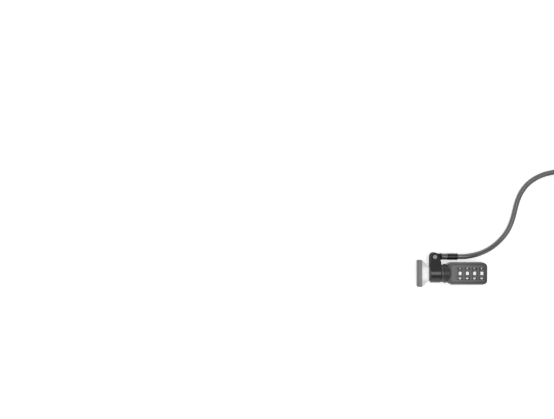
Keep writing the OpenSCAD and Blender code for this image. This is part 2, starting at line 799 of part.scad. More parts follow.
module coil_tie() {
    color(black_plastic) round_coil() rotate([0, 0, tie_angle]) rotate([90, 0, 0])
        linear_extrude(tie_w, center = true) difference() {
            strap_section(tie_t);
            strap_section(0);
        }
}

upper_shell();
base_cover();
end_cap();
cap_pins();
neck_flange();
barrel();
barrel_pins();
nose_ring();
anti_turn_pins();
swivel_washer();
swivel_collar();
hinge_rivet();
cable_eye();
crimp_ferrule();
cable_sleeve();
lock_spindle();
cross_pin();
spindle_clip();
plunger();
push_button();
return_spring();
detent_spring();
for (i = [1:dial_count]) {
    dial(i);
    code_ring(i);
}
adapter_pad();
adapter_plate();
adapter_boss();
adapter_screws();
cable_run();
cable_coil();
cable_tail();
cable_loop();
loop_ferrule();
coil_tie();
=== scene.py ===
import json
import math

import bmesh
import bpy
from mathutils import Matrix, Vector


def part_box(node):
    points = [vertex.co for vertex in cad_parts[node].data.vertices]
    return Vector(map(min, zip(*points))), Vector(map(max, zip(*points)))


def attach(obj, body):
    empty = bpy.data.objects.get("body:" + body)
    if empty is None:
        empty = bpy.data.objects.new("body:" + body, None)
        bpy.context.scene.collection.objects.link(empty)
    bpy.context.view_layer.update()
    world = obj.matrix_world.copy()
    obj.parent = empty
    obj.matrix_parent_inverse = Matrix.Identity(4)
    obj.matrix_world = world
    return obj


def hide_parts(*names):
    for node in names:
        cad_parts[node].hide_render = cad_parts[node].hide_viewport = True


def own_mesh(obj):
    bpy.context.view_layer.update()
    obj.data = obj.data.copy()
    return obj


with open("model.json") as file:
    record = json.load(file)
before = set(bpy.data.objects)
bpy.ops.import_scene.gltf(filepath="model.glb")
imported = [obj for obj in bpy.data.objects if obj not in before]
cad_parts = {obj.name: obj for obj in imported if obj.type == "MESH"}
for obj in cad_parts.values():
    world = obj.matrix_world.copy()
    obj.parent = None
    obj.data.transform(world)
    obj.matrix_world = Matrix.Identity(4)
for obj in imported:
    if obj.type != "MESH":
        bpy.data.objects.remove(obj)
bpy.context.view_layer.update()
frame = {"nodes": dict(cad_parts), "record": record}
scene = bpy.context.scene


def nodeMiddle(node):
    low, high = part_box(node)
    return (Vector(low) + Vector(high)) / 2


# The nose is the tip of the adapter's boss, and the desk is the housing's underside
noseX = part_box("adapter_boss")[1][0]
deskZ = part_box("base_cover")[0][2]

# The camera looks straight down on the middle of its frame
mm = 0.001
framing = {
    "width": 554,
    "height": 419,
    "noseColumn": 428.3,
    "axisRow": 273.3,
    "mmPerPixel": 0.856,
    "cameraHeight": 1.2,
    "sensor": 36.0,
}
frameWidth = framing["width"] * framing["mmPerPixel"] * mm
cameraData = bpy.data.cameras.new("overheadCamera")
cameraData.sensor_width = framing["sensor"]
cameraData.lens = framing["sensor"] * framing["cameraHeight"] / frameWidth
camera = bpy.data.objects.new("overheadCamera", cameraData)
scene.collection.objects.link(camera)
camera.location = (
    noseX + (framing["width"] / 2 - framing["noseColumn"]) * framing["mmPerPixel"] * mm,
    (framing["axisRow"] - framing["height"] / 2) * framing["mmPerPixel"] * mm,
    framing["cameraHeight"],
)
scene.camera = camera
scene.view_settings.view_transform = "Standard"
print("camera ready")


def newMaterial(name):
    material = bpy.data.materials.new(name)
    material.use_nodes = True
    tree = material.node_tree
    return material, tree, tree.nodes["Principled BSDF"]


def setInputs(node, values):
    for key, value in values.items():
        node.inputs[key].default_value = value


def addNode(tree, kind, **settings):
    # Each setting is the node's input of that name, or else its property
    node = tree.nodes.new(kind)
    for key, value in settings.items():
        if key in node.inputs.keys():
            node.inputs[key].default_value = value
        else:
            setattr(node, key, value)
    return node


def objectCoords(tree, stretch=(1, 1, 1)):
    coords = addNode(tree, "ShaderNodeTexCoord")
    mapping = addNode(tree, "ShaderNodeMapping", Scale=stretch)
    tree.links.new(coords.outputs["Object"], mapping.inputs["Vector"])
    return mapping.outputs["Vector"]


def noise(tree, coords, scale, detail=4.0):
    texture = addNode(tree, "ShaderNodeTexNoise", Scale=scale, Detail=detail)
    tree.links.new(coords, texture.inputs["Vector"])
    return texture.outputs["Fac"]


def ramp(tree, value, stops):
    node = addNode(tree, "ShaderNodeValToRGB")
    elements = node.color_ramp.elements
    while len(elements) < len(stops):
        elements.new(0.5)
    for element, (place, colour) in zip(elements, stops):
        element.position = place
        element.color = (*colour, 1)
    tree.links.new(value, node.inputs["Fac"])
    return node.outputs["Color"]


def rescaled(tree, value, fromLow, fromHigh, low=0.0, high=1.0):
    node = addNode(tree, "ShaderNodeMapRange")
    setInputs(node, {"From Min": fromLow, "From Max": fromHigh, "To Min": low, "To Max": high})
    tree.links.new(value, node.inputs["Value"])
    return node.outputs["Result"]


def spread(tree, value, low, high):
    return rescaled(tree, value, 0, 1, low, high)


def bump(tree, shader, height, distance, strength):
    node = addNode(tree, "ShaderNodeBump", Distance=distance, Strength=strength)
    tree.links.new(height, node.inputs["Height"])
    tree.links.new(node.outputs["Normal"], shader.inputs["Normal"])


def shades(colour, amount):
    # The same colour darker and lighter by that share
    return tuple(c * (1 - amount) for c in colour), tuple(min(c * (1 + amount), 1) for c in colour)


def mottled(tree, value, colour, amount, reach=0.2):
    # The colour goes from its darker to its lighter shade while the value passes its middle
    dark, light = shades(colour, amount)
    return ramp(tree, value, [(0.5 - reach, dark), (0.5 + reach, light)])


def smudged(tree, shader, value, roughness, less, more):
    # Roughness that goes from less below to more above with the value
    varied = spread(tree, value, roughness - less, roughness + more)
    tree.links.new(varied, shader.inputs["Roughness"])


def maths(tree, operation, *values, clamped=False):
    # A plain number goes on the node's own socket, and an output is linked
    node = addNode(tree, "ShaderNodeMath", operation=operation, use_clamp=clamped)
    for socket, value in zip(node.inputs, values):
        if isinstance(value, (int, float)):
            socket.default_value = value
        else:
            tree.links.new(value, socket)
    return node.outputs[0]


def axes(tree, coords):
    node = addNode(tree, "ShaderNodeSeparateXYZ")
    tree.links.new(coords, node.inputs["Vector"])
    return node.outputs


def surfaceCoords(tree):
    return addNode(tree, "ShaderNodeUVMap", uv_map="UVMap").outputs["UV"]


def blended(tree, factor, first, second):
    # First colour where the factor is 0, second where it is 1
    node = addNode(tree, "ShaderNodeMix", data_type="RGBA")
    colours = [socket for socket in node.inputs if socket.type == "RGBA"]
    tree.links.new(factor, node.inputs[0])
    for socket, colour in zip(colours, (first, second)):
        if isinstance(colour, tuple):
            socket.default_value = (*colour, 1)
        else:
            tree.links.new(colour, socket)
    return [socket for socket in node.outputs if socket.type == "RGBA"][0]


# How fine each texture is, in features a metre, since the coordinates that they read are in metres
fineness = {
    "wearPatches": 1300,
    "paintFlakes": 9000,
    "paintSmudges": 260,
    "paintPeel": 1800,
    "collarFlakes": 7000,
    "collarSmudges": 300,
    "collarPeel": 2600,
    "brushLines": 900,
    "plasticMottle": 420,
    "plasticSmudges": 700,
    "plasticGrain": 3200,
    "foamCells": 4200,
    "tapePile": 2400,
    "tapeFuzz": 5200,
    "tapeRibs": 230,
}

# Edges wear more as the likeness of the rounded normal to the face's own falls from flat to sharp,
# and in patches, more as the noise rises from sparse to full
wear = {"sharp": 0.8, "flat": 0.98, "sparse": 0.38, "full": 0.62}


def wornEdges(tree, coords, width):
    # Near 1 in patches along the sharp edges, and 0 on the faces
    rounded = addNode(tree, "ShaderNodeBevel", samples=4, Radius=width)
    surface = addNode(tree, "ShaderNodeNewGeometry")
    likeness = addNode(tree, "ShaderNodeVectorMath", operation="DOT_PRODUCT")
    tree.links.new(rounded.outputs["Normal"], likeness.inputs[0])
    tree.links.new(surface.outputs["Normal"], likeness.inputs[1])
    edge = rescaled(tree, likeness.outputs["Value"], wear["sharp"], wear["flat"], 1, 0)
    patches = noise(tree, coords, fineness["wearPatches"])
    patches = rescaled(tree, patches, wear["sparse"], wear["full"])
    return maths(tree, "MULTIPLY", edge, patches, clamped=True)


def lacquer(
    name, colour, roughness, metallic=0.0, coat=0.0, specular=0.5, grain=0.00002, flake=0.12,
    edgeColour=None, edge=0.00018, paintedShade=None,
):
    # Sprayed paint: fine flakes, a faint orange peel, smudges, and edges changed in patches towards
    # the edge colour, which is rubbed bare metal, and on the adapter's boss a painted shade along its
    # outline
    material, tree, shader = newMaterial(name)
    coords = objectCoords(tree)
    flakes = noise(tree, coords, fineness["paintFlakes"], detail=2)
    paint = mottled(tree, flakes, colour, flake, reach=0.15)
    if paintedShade:
        # Painted shade: the paint goes over to a darker colour away from the origin along one axis,
        # where less light falls
        axis, start, end, shadedColour = paintedShade
        away = maths(tree, "ABSOLUTE", axes(tree, coords)[axis])
        shadedPaint = mottled(tree, flakes, shadedColour, flake, reach=0.15)
        paint = blended(tree, rescaled(tree, away, start, end), paint, shadedPaint)
    worn = blended(tree, wornEdges(tree, coords, edge), paint, edgeColour or shades(colour, 0.9)[1])
    tree.links.new(worn, shader.inputs["Base Color"])
    smudges = noise(tree, coords, fineness["paintSmudges"])
    smudged(tree, shader, smudges, roughness, less=0.06, more=0.08)
    setInputs(shader, {"Metallic": metallic, "Specular IOR Level": specular})
    setInputs(shader, {"Coat Weight": coat, "Coat Roughness": 0.25})
    peel = noise(tree, coords, fineness["paintPeel"], detail=3)
    bump(tree, shader, peel, distance=grain, strength=0.6)
    return material


# The collar's turned ring ends, and its lug begins, at castFrom across the lock
collar = {
    "castFrom": 0.0026,
    "castOver": 0.0004,
    "ringRoughness": 0.22,
    "castRoughness": 0.78,
    "smudges": (-0.03, 0.05),
    "specular": 0.42,
    "darkPaint": (0.010, 0.010, 0.011),
    "lightPaint": (0.018, 0.018, 0.019),
    "bareEdge": (0.09, 0.088, 0.086),
    "edge": 0.0002,
    "grain": 0.000025,
}


def collarMaterial():
    # The turned ring is glossy, and the lug beside it is left as cast
    material, tree, shader = newMaterial("collarLacquer")
    coords = objectCoords(tree)
    castTo = collar["castFrom"] + collar["castOver"]
    cast = rescaled(tree, axes(tree, coords)["Y"], collar["castFrom"], castTo)
    stops = [(0.3, collar["darkPaint"]), (0.7, collar["lightPaint"])]
    paint = ramp(tree, noise(tree, coords, fineness["collarFlakes"], detail=3), stops)
    rubbed = wornEdges(tree, coords, collar["edge"])
    tree.links.new(blended(tree, rubbed, paint, collar["bareEdge"]), shader.inputs["Base Color"])
    smudges = spread(tree, noise(tree, coords, fineness["collarSmudges"]), *collar["smudges"])
    gloss = rescaled(tree, cast, 0, 1, collar["ringRoughness"], collar["castRoughness"])
    tree.links.new(maths(tree, "ADD", gloss, smudges), shader.inputs["Roughness"])
    setInputs(shader, {"Specular IOR Level": collar["specular"]})
    peel = noise(tree, coords, fineness["collarPeel"], detail=3)
    bump(tree, shader, peel, distance=collar["grain"], strength=0.7)
    return material


def brushed(name, colour, roughness, stretch):
    # Bare metal with fine lines, drawn out along each axis whose stretch is below 1
    material, tree, shader = newMaterial(name)
    coords = objectCoords(tree, stretch)
    lines = noise(tree, coords, fineness["brushLines"], detail=3)
    tree.links.new(mottled(tree, lines, colour, 0.12), shader.inputs["Base Color"])
    smudged(tree, shader, lines, roughness, less=0.08, more=0.12)
    setInputs(shader, {"Metallic": 1.0})
    bump(tree, shader, lines, distance=0.00001, strength=0.5)
    return material


def moulded(name, colour, roughness, grain=0.00003, specular=0.5, mottle=0.2, edge=0.00014):
    # Plastic, clouded a little, and lighter in patches along its edges
    material, tree, shader = newMaterial(name)
    coords = objectCoords(tree)
    plastic = mottled(tree, noise(tree, coords, fineness["plasticMottle"]), colour, mottle)
    worn = blended(tree, wornEdges(tree, coords, edge), plastic, shades(colour, 0.6)[1])
    tree.links.new(worn, shader.inputs["Base Color"])
    smudges = noise(tree, coords, fineness["plasticSmudges"])
    smudged(tree, shader, smudges, roughness, less=0.05, more=0.1)
    setInputs(shader, {"Specular IOR Level": specular})
    pits = noise(tree, coords, fineness["plasticGrain"], detail=2)
    bump(tree, shader, pits, distance=grain, strength=0.5)
    return material


def foamMaterial():
    # Grey closed-cell foam with a pitted cut edge, its colour darker in the pits: painted shade
    material, tree, shader = newMaterial("closedCellFoam")
    cells = addNode(tree, "ShaderNodeTexVoronoi", Scale=fineness["foamCells"])
    tree.links.new(objectCoords(tree), cells.inputs["Vector"])
    height = cells.outputs["Distance"]
    stops = [(0.0, (0.10, 0.102, 0.104)), (0.6, (0.20, 0.203, 0.206))]
    tree.links.new(ramp(tree, height, stops), shader.inputs["Base Color"])
    setInputs(shader, {"Roughness": 0.92})
    bump(tree, shader, height, distance=0.00005, strength=0.8)
    return material


# The steel rope in the cable: its strands, the length in which each goes once round, and the shades
# from the groove between two strands to a strand's crest: painted shade in the grooves, painted light
# on the crests
rope = {
    "strands": 7,
    "lay": 0.016,
    "shades": [
        (0.1, (0.016, 0.016, 0.017)),
        (0.55, (0.065, 0.064, 0.066)),
        (1.0, (0.13, 0.128, 0.132)),
    ],
}


def cableMaterial():
    # A smoky coat over the strands of a steel rope: the strands wind round along the tube's own UV
    material, tree, shader = newMaterial("coatedSteelRope")
    place = axes(tree, surfaceCoords(tree))
    along = maths(tree, "MULTIPLY", place["Y"], 1 / rope["lay"])
    twist = maths(tree, "ADD", place["X"], along)
    strands = maths(tree, "MULTIPLY", twist, 2 * math.pi * rope["strands"])
    lay = rescaled(tree, maths(tree, "SINE", strands), -1, 1)
    # The strands' colour is painted shade in the grooves and painted light on the crests, following
    # the bump
    tree.links.new(ramp(tree, lay, rope["shades"]), shader.inputs["Base Color"])
    setInputs(shader, {"Roughness": 0.32, "Specular IOR Level": 0.5})
    setInputs(shader, {"Coat Weight": 0.7, "Coat Roughness": 0.2})
    bump(tree, shader, lay, distance=0.00004, strength=0.35)
    return material


# A hook-and-loop strap round the coil: its corners are turns of the cable, by radius and height in
# the coil, with the depth that the tape sinks in after each
strap = {
    "angle": math.radians(200),
    "width": 0.010,
    "thickness": 0.0007,
    "hem": 0.0012,
    "hemBlend": 0.0001,
    "corners": [
        (0.0297, 0.0178, 0), (0.01905, 0.0178, 0.0003), (0.01905, 0.0079, 0.0002),
        (0.0226, 0.00305, 0), (0.0278, 0.00305, 0.0002), (0.0297, 0.0079, 0.0006),
        (0.0297, 0.0178, 0), (0.01905, 0.0178, 0),
    ],
    "reach": 0.00265,
    "lap": 0.0008,
    "tip": 0.0192,
    "crest": 0.0198,
    "dip": 0.0004,
    "tipLift": 0.0004,
    "tipLiftReach": 0.003,
    "startRound": 0.0008,
    "tipRound": 0.0034,
    "edgeWaves": [(0.00004, 1900), (0.00005, 730)],
    "widePower": 0.6,
    "thickPower": 0.35,
    "cornerSteps": 8,
    "spanSteps": 40,
    "smoothings": 3,
    "spacing": 0.0004,
    "sides": 28,
}


def strapMaterial():
    # Hook-and-loop tape: a fuzzy pile between two ribbed edges, laid out by UV in metres, its colour a
    # painted shade that is darker where the pile is low
    material, tree, shader = newMaterial("hookAndLoopTape")
    coords = surfaceCoords(tree)
    pile = addNode(tree, "ShaderNodeTexVoronoi", Scale=fineness["tapePile"])
    tree.links.new(coords, pile.inputs["Vector"])
    fuzz = rescaled(tree, noise(tree, coords, fineness["tapeFuzz"]), 0.2, 0.7)
    curls = maths(tree, "MULTIPLY", pile.outputs["Distance"], fuzz, clamped=True)
    ribs = addNode(tree, "ShaderNodeTexWave", Scale=fineness["tapeRibs"], bands_direction="Y")
    tree.links.new(coords, ribs.inputs["Vector"])
    fromMiddle = maths(tree, "ABSOLUTE", axes(tree, coords)["X"])
    hem = strap["width"] / 2 - strap["hem"]
    inHem = rescaled(tree, fromMiddle, hem, hem + strap["hemBlend"])
    weave = addNode(tree, "ShaderNodeMix", data_type="FLOAT")
    for socket, value in zip((0, 2, 3), (inHem, curls, ribs.outputs["Fac"])):
        tree.links.new(value, weave.inputs[socket])
    height = weave.outputs[0]
    stops = [(0.0, (0.008, 0.008, 0.009)), (0.45, (0.024, 0.024, 0.026)), (1.0, (0.05, 0.05, 0.053))]
    tree.links.new(ramp(tree, height, stops), shader.inputs["Base Color"])
    setInputs(shader, {"Roughness": 0.88, "Sheen Weight": 0.3})
    bump(tree, shader, height, distance=0.00018, strength=0.9)
    return material


# One finish for each slot, and below it the nodes with a finish of their own
slotMaterials = {
    # Painted shade on the housing: its paint darkens along X towards its far end
    "housing": lacquer(
        "gunmetalLacquer", (0.088, 0.0865, 0.088), 0.42, metallic=0.3, coat=0.06,
        paintedShade=("X", 0.033, 0.057, (0.05, 0.0495, 0.051)),
    ),
    "end_cap": lacquer("gunmetalCap", (0.032, 0.0315, 0.033), 0.45, metallic=0.3, coat=0.03),
    "black_metal": lacquer(
        "blackLacquer", (0.022, 0.021, 0.022), 0.36, flake=0.25, edgeColour=(0.08, 0.079, 0.078)
    ),
    "steel": brushed("turnedSteel", (0.46, 0.455, 0.45), 0.32, (1, 0.15, 0.15)),
    "rivet": brushed("rivetSteel", (0.185, 0.183, 0.18), 0.42, (1, 1, 0.2)),
    "black_plastic": moulded("blackNylon", (0.022, 0.022, 0.022), 0.5),
    "black_gloss": moulded("glossySleeve", (0.010, 0.010, 0.010), 0.24, grain=0.00001, specular=0.28),
    "dial": moulded("dialGunmetal", (0.105, 0.103, 0.105), 0.36),
    "foam": foamMaterial(),
    "adapter_plate": lacquer("greyAdapterPlate", (0.165, 0.168, 0.172), 0.45, metallic=0.2),
    # Painted shade on the boss: its flanks are painted darker than its middle, and its edges darker
    # grey in patches along its outline
    "adapter_boss": lacquer(
        "paleAdapterBoss", (0.93, 0.93, 0.93), 0.38, coat=0.2, flake=0.02, edgeColour=(0.42, 0.42, 0.42),
        edge=0.0005, paintedShade=("Y", 0.0036, 0.0068, (0.62, 0.62, 0.62)),
    ),
    "cable": cableMaterial(),
    "tie": strapMaterial(),
}
nodeMaterials = {
    "swivel_collar": collarMaterial(),
    "swivel_washer": lacquer("washerLacquer", (0.036, 0.035, 0.036), 0.34, flake=0.2),
    "neck_flange": lacquer(
        "neckLacquer", (0.016, 0.016, 0.017), 0.42, flake=0.2, edgeColour=(0.05, 0.05, 0.05)
    ),
    "nose_ring": moulded("noseNylon", (0.17, 0.168, 0.168), 0.5),
    "cable_eye": lacquer(
        "eyeLacquer", (0.010, 0.010, 0.010), 0.6, specular=0.25, edgeColour=(0.03, 0.03, 0.03)
    ),
    "crimp_ferrule": brushed("burnishedFerrule", (0.115, 0.114, 0.116), 0.38, (1, 0.2, 0.2)),
}
slotOf = {part["node"]: part["material_slot"] for part in frame["record"]["subparts"]}
for node, thing in frame["nodes"].items():
    for materialSlot in thing.material_slots:
        materialSlot.material = nodeMaterials.get(node) or slotMaterials[slotOf[node]]
whiteInk = moulded("whiteInk", (0.95, 0.95, 0.94), 0.5, grain=0.000005, mottle=0.04)
print("materials ready")


# The coil lies in layers, and its last turn stops short by missingTurn
cable = {
    "diameter": 0.0044,
    "sleeveY": nodeMiddle("cable_sleeve").y,
    "coilMiddle": (0.147, 0.057),
    "coilMidR": 0.025,
    "coilStep": 0.0049,
    "layers": 4,
    "layerTurns": 2.5,
    "climbTurns": 0.5,
    "missingTurn": 1 / 6,
    "coilLow": 0.0031,
    "coilRings": 48,
    "sides": 20,
}

# The free stretch, measured from the nose, with its height above the desk
runRoute = [
    (0.0314, 0.0144, 0.0094), (0.037, 0.0152, 0.0089), (0.042, 0.0163, 0.0079),
    (0.0472, 0.018, 0.0065), (0.0525, 0.0205, 0.005), (0.0577, 0.0239, 0.0037),
    (0.063, 0.0286, 0.0028), (0.068, 0.0346, 0.0024), (0.0715, 0.0412, 0.0023),
    (0.0739, 0.0482, 0.0023), (0.0756, 0.0552, 0.0023), (0.0776, 0.0622, 0.0023),
    (0.0806, 0.069, 0.0023), (0.0851, 0.0752, 0.0023), (0.091, 0.0802, 0.0023),
    (0.098, 0.0839, 0.0023), (0.1058, 0.0862, 0.0023), (0.114, 0.0875, 0.0023),
    (0.1224, 0.088, 0.0023), (0.1308, 0.0881, 0.0027), (0.1382, 0.0881, 0.0031),
    (0.1426, 0.0881, 0.0031),
]

# The end above the coil, measured from the coil's middle
tailRoute = [
    (-0.0199, 0.0246, 0.0184), (-0.0146, 0.0284, 0.0198), (-0.0084, 0.0306, 0.0213),
    (-0.0014, 0.0311, 0.0224), (0.0058, 0.0302, 0.0229), (0.0126, 0.0267, 0.023),
    (0.0174, 0.0207, 0.023), (0.0193, 0.0132, 0.023), (0.0171, 0.0042, 0.023),
]

# The end loop, whose cut end stops endInside short of the ferrule's far face, and half of its
# outline from the ferrule to the tip
loop = {
    "place": (0.0089, -0.0052, 0.023),
    "turn": math.radians(-120),
    "strandGap": 0.0048,
    "ferruleLength": 0.012,
    "endInside": 0.001,
}
loopHalf = [
    (-0.006, 0.0024), (0, 0.0024), (0.004, 0.003), (0.0076, 0.0049), (0.0107, 0.0079),
    (0.015, 0.0115), (0.0206, 0.013), (0.0262, 0.012), (0.031, 0.0086), (0.0338, 0.0032),
]


def onDesk(point):
    return Vector((noseX + point[0], point[1], deskZ + point[2]))


def byCoil(point):
    middle = cable["coilMiddle"]
    return onDesk((middle[0] + point[0], middle[1] + point[1], point[2]))


def coilPoint(turn):
    # The layers fold at the outer and the inner radius by turns, and the cable climbs at each fold
    perLayer = cable["layerTurns"]
    step = cable["coilStep"]
    outer = cable["coilMidR"] + step * perLayer / 2
    inner = cable["coilMidR"] - step * perLayer / 2
    layer = math.floor(turn / perLayer + 0.5)
    fromFold = turn - layer * perLayer
    radius = outer - step * abs(fromFold) if layer % 2 == 0 else inner + step * abs(fromFold)
    if 0 < layer < cable["layers"] and abs(fromFold) < cable["climbTurns"] / 2:
        climb = layer - 0.5 + 0.5 * math.sin(math.pi * fromFold / cable["climbTurns"])
    else:
        climb = max(layer - 1 if fromFold < 0 else layer, 0)
    angle = math.pi / 2 - 2 * math.pi * turn
    height = cable["coilLow"] + step * climb
    return byCoil((radius * math.cos(angle), radius * math.sin(angle), height))


def smoothLine(points, perSpan=4):
    # Catmull-Rom spline through the points
    ends = [points[0] * 2 - points[1], *points, points[-1] * 2 - points[-2]]
    line = []
    for i in range(1, len(ends) - 2):
        a, b, c, d = ends[i - 1:i + 3]
        for k in range(perSpan):
            t = k / perSpan
            squared = (2 * a - 5 * b + 4 * c - d) * t**2
            cubed = (3 * b - a - 3 * c + d) * t**3
            line.append(0.5 * (2 * b + (c - a) * t + squared + cubed))
    return [*line, ends[-2]]


def loftMesh(name, rings, lengths, widths):
    # Skin over closed rings of points. UV is the width round each ring, which has one value more
    # than the ring has points, and the length from ring to ring
    mesh = bpy.data.meshes.new(name)
    skin = bmesh.new()
    uvLayer = skin.loops.layers.uv.new("UVMap")
    vertices = [[skin.verts.new(point) for point in ring] for ring in rings]
    count = len(rings[0])
    for i in range(len(rings) - 1):
        for k in range(count):
            corners = ((i, k), (i, k + 1), (i + 1, k + 1), (i + 1, k))
            face = skin.faces.new([vertices[a][b % count] for a, b in corners])
            face.smooth = True
            for corner, (a, b) in zip(face.loops, corners):
                corner[uvLayer].uv = (widths[a][b], lengths[a])
    skin.faces.new(list(reversed(vertices[0])))
    skin.faces.new(vertices[-1])
    bmesh.ops.recalc_face_normals(skin, faces=skin.faces)
    skin.to_mesh(mesh)
    skin.free()
    piece = bpy.data.objects.new(name, mesh)
    scene.collection.objects.link(piece)
    return piece


def tubeMesh(name, line, radius, sides):
    # Round the tube UV counts turns, and along it metres
    rings = []
    travelled = [0.0]
    angles = [2 * math.pi * k / sides for k in range(sides)]
    for i, point in enumerate(line):
        if i:
            travelled.append(travelled[-1] + (point - line[i - 1]).length)
        ahead = (line[min(i + 1, len(line) - 1)] - line[max(i - 1, 0)]).normalized()
        side = ahead.cross(Vector((0, 0, 1))).normalized()
        up = side.cross(ahead)
        rings.append([point + radius * (math.cos(a) * side + math.sin(a) * up) for a in angles])
    turns = [k / sides for k in range(sides + 1)]
    return loftMesh(name, rings, travelled, [turns] * len(rings))


def loopPoint(point):
    turn = Matrix.Rotation(loop["turn"], 3, "Z")
    return byCoil(Vector(loop["place"]) + turn @ Vector((point[0], point[1], 0)))


runStart = Vector((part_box("crimp_ferrule")[1][0], cable["sleeveY"], 0))
runMiddle = Vector((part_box("cable_sleeve")[1][0], cable["sleeveY"], 0))
runLine = smoothLine([runStart, runMiddle, *(onDesk(p) for p in runRoute)])
coilTurns = cable["layers"] * cable["layerTurns"] - cable["missingTurn"]
coilSteps = round(coilTurns * cable["coilRings"])
coilLine = [coilPoint(k / cable["coilRings"]) for k in range(coilSteps + 1)]
coilTip = coilLine[-1] + cable["diameter"] * (coilLine[-1] - coilLine[-2]).normalized()
halfGap = loop["strandGap"] / 2
tailEnds = [(-loop["ferruleLength"], halfGap), (-loop["ferruleLength"] / 2, halfGap)]
tailPoints = [byCoil(p) for p in tailRoute] + [loopPoint(p) for p in tailEnds]
tailLine = smoothLine([coilLine[-1], coilTip, *tailPoints])
wholeLine = runLine + coilLine[1:] + tailLine[1:]
steelCable = tubeMesh("steelCable", wholeLine, cable["diameter"] / 2, cable["sides"])
steelCable.data.materials.append(slotMaterials["cable"])

loopBack = [(x, -y) for x, y in reversed(loopHalf) if x > 0]
loopEnd = [(0, -halfGap), (-loop["ferruleLength"] + loop["endInside"], -halfGap)]
loopLine = smoothLine([loopPoint(p) for p in loopHalf + loopBack + loopEnd], perSpan=6)
cableLoop = tubeMesh("cableLoop", loopLine, cable["diameter"] / 2, cable["sides"])
cableLoop.data.materials.append(slotMaterials["cable"])
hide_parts("cable_run", "cable_coil", "cable_tail")
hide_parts("cable_loop")
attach(steelCable, "cable_end")
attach(cableLoop, "cable_end")


# The ferrule on the end loop: a round bar pulled wide for the two strands, then crimped. Each crimp
# step is a share of the crimp's reach, and the share of its full depth there
ferrule = {
    "radius": 0.0027,
    "sides": 36,
    "rim": 0.0005,
    "crimps": (-0.0035, 0, 0.0035),
    "crimpReach": 0.0011,
    "crimpSteps": ((0.6, 0.5), (0.25, 1)),
    "crimpTall": 0.89,
    "crimpWide": 0.965,
}
closeBy = 0.00001
smoothBelow = math.radians(50)


def pickVertices(piece, wanted):
    # Selects the vertices at the wanted places, in edit mode
    edited = bmesh.from_edit_mesh(piece.data)
    for vertex in edited.verts:
        vertex.select_set(wanted(vertex.co))
    edited.select_flush(True)
    bmesh.update_edit_mesh(piece.data)


bpy.ops.object.select_all(action="DESELECT")
bpy.ops.mesh.primitive_cylinder_add(
    vertices=ferrule["sides"], radius=ferrule["radius"], depth=loop["ferruleLength"],
    rotation=(0, math.pi / 2, 0),
)
loopFerrule = bpy.context.object
loopFerrule.name = "loopFerrule"
bpy.ops.object.transform_apply(rotation=True)
bpy.ops.object.mode_set(mode="EDIT")
bpy.ops.mesh.select_all(action="SELECT")
bpy.ops.mesh.bisect(plane_co=(0, 0, 0), plane_no=(0, 1, 0))
for side in (-1, 1):
    pickVertices(loopFerrule, lambda place: place.y * side > closeBy)
    bpy.ops.transform.translate(value=(0, side * loop["strandGap"] / 2, 0))
end = loop["ferruleLength"] / 2
pickVertices(loopFerrule, lambda place: abs(place.x) > end - closeBy)
bpy.ops.mesh.bevel(offset=ferrule["rim"], segments=4, affect="EDGES")
shares = [1, *(share for share, _ in ferrule["crimpSteps"])]
for crimp in ferrule["crimps"]:
    for share in [-share for share in shares] + shares[::-1]:
        cut = crimp + share * ferrule["crimpReach"]
        bpy.ops.mesh.select_all(action="SELECT")
        bpy.ops.mesh.bisect(plane_co=(cut, 0, 0), plane_no=(1, 0, 0))
    for share, depth in ferrule["crimpSteps"]:
        tall, wide = (1 - depth * (1 - ferrule[size]) for size in ("crimpTall", "crimpWide"))
        for side in (-1, 1):
            cut = crimp + side * share * ferrule["crimpReach"]
            pickVertices(loopFerrule, lambda place: abs(place.x - cut) < closeBy)
            bpy.ops.transform.resize(value=(1, wide, tall), center_override=(cut, 0, 0))
bpy.ops.object.mode_set(mode="OBJECT")
bpy.ops.object.shade_smooth_by_angle(angle=smoothBelow)
loopFerrule.location = loopPoint((-end, 0))
loopFerrule.rotation_euler.z = loop["turn"]
bpy.ops.object.transform_apply(location=True, rotation=True)
loopFerrule.data.materials.append(slotMaterials["steel"])
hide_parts("loop_ferrule")
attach(loopFerrule, "cable_end")


def strapLine():
    # From the top inwards, down, under the turns, up and back over its own start, as (radius, height)
    corners = strap["corners"]
    line = []
    for i in range(len(corners) - 1):
        here, there = Vector(corners[i][:2]), Vector(corners[i + 1][:2])
        ahead = (there - here).normalized()
        outward = Vector((ahead.y, -ahead.x))
        lapped = strap["lap"] if i == len(corners) - 2 else 0
        reach = strap["reach"] + lapped
        if i:
            turned = lastOutward.angle_signed(outward)
            for k in range(strap["cornerSteps"] + 1):
                share = k / strap["cornerSteps"]
                leaning = Matrix.Rotation(-turned * share, 2) @ lastOutward
                line.append(tuple(here + leaning * (strap["reach"] + lapped * share)))
        onTop = outward.y > 0.99
        for k in range(1, strap["spanSteps"]):
            t = k / strap["spanSteps"]
            place = here.lerp(there, t) + outward * reach
            sunk = corners[i][2] * math.sin(math.pi * t) ** 2
            if onTop:
                fromCrest = place.x - strap["crest"]
                wave = math.cos(2 * math.pi * fromCrest / cable["coilStep"])
                sunk = strap["dip"] * (0.5 - 0.5 * wave)
            if lapped:
                fromTip = place.x - strap["tip"]
                if fromTip < 0:
                    break
                sunk -= strap["tipLift"] * max(1 - fromTip / strap["tipLiftReach"], 0) ** 2
            line.append(tuple(place - outward * sunk))
        lastOutward = outward
    return line


def evenly(line, spacing):
    # The same line, with its points the same distance apart
    travelled = [0.0]
    for a, b in zip(line, line[1:]):
        travelled.append(travelled[-1] + math.dist(a, b))
    count = round(travelled[-1] / spacing)
    points = []
    i = 0
    for k in range(count + 1):
        wanted = travelled[-1] * k / count
        while i < len(line) - 2 and travelled[i + 1] < wanted:
            i += 1
        t = (wanted - travelled[i]) / (travelled[i + 1] - travelled[i])
        points.append(tuple(a + (b - a) * t for a, b in zip(line[i], line[i + 1])))
    return points


def powered(value, power):
    # A circle's sine and cosine, raised to a power below 1, go round a flat shape with round corners
    return math.copysign(abs(value) ** power, value)


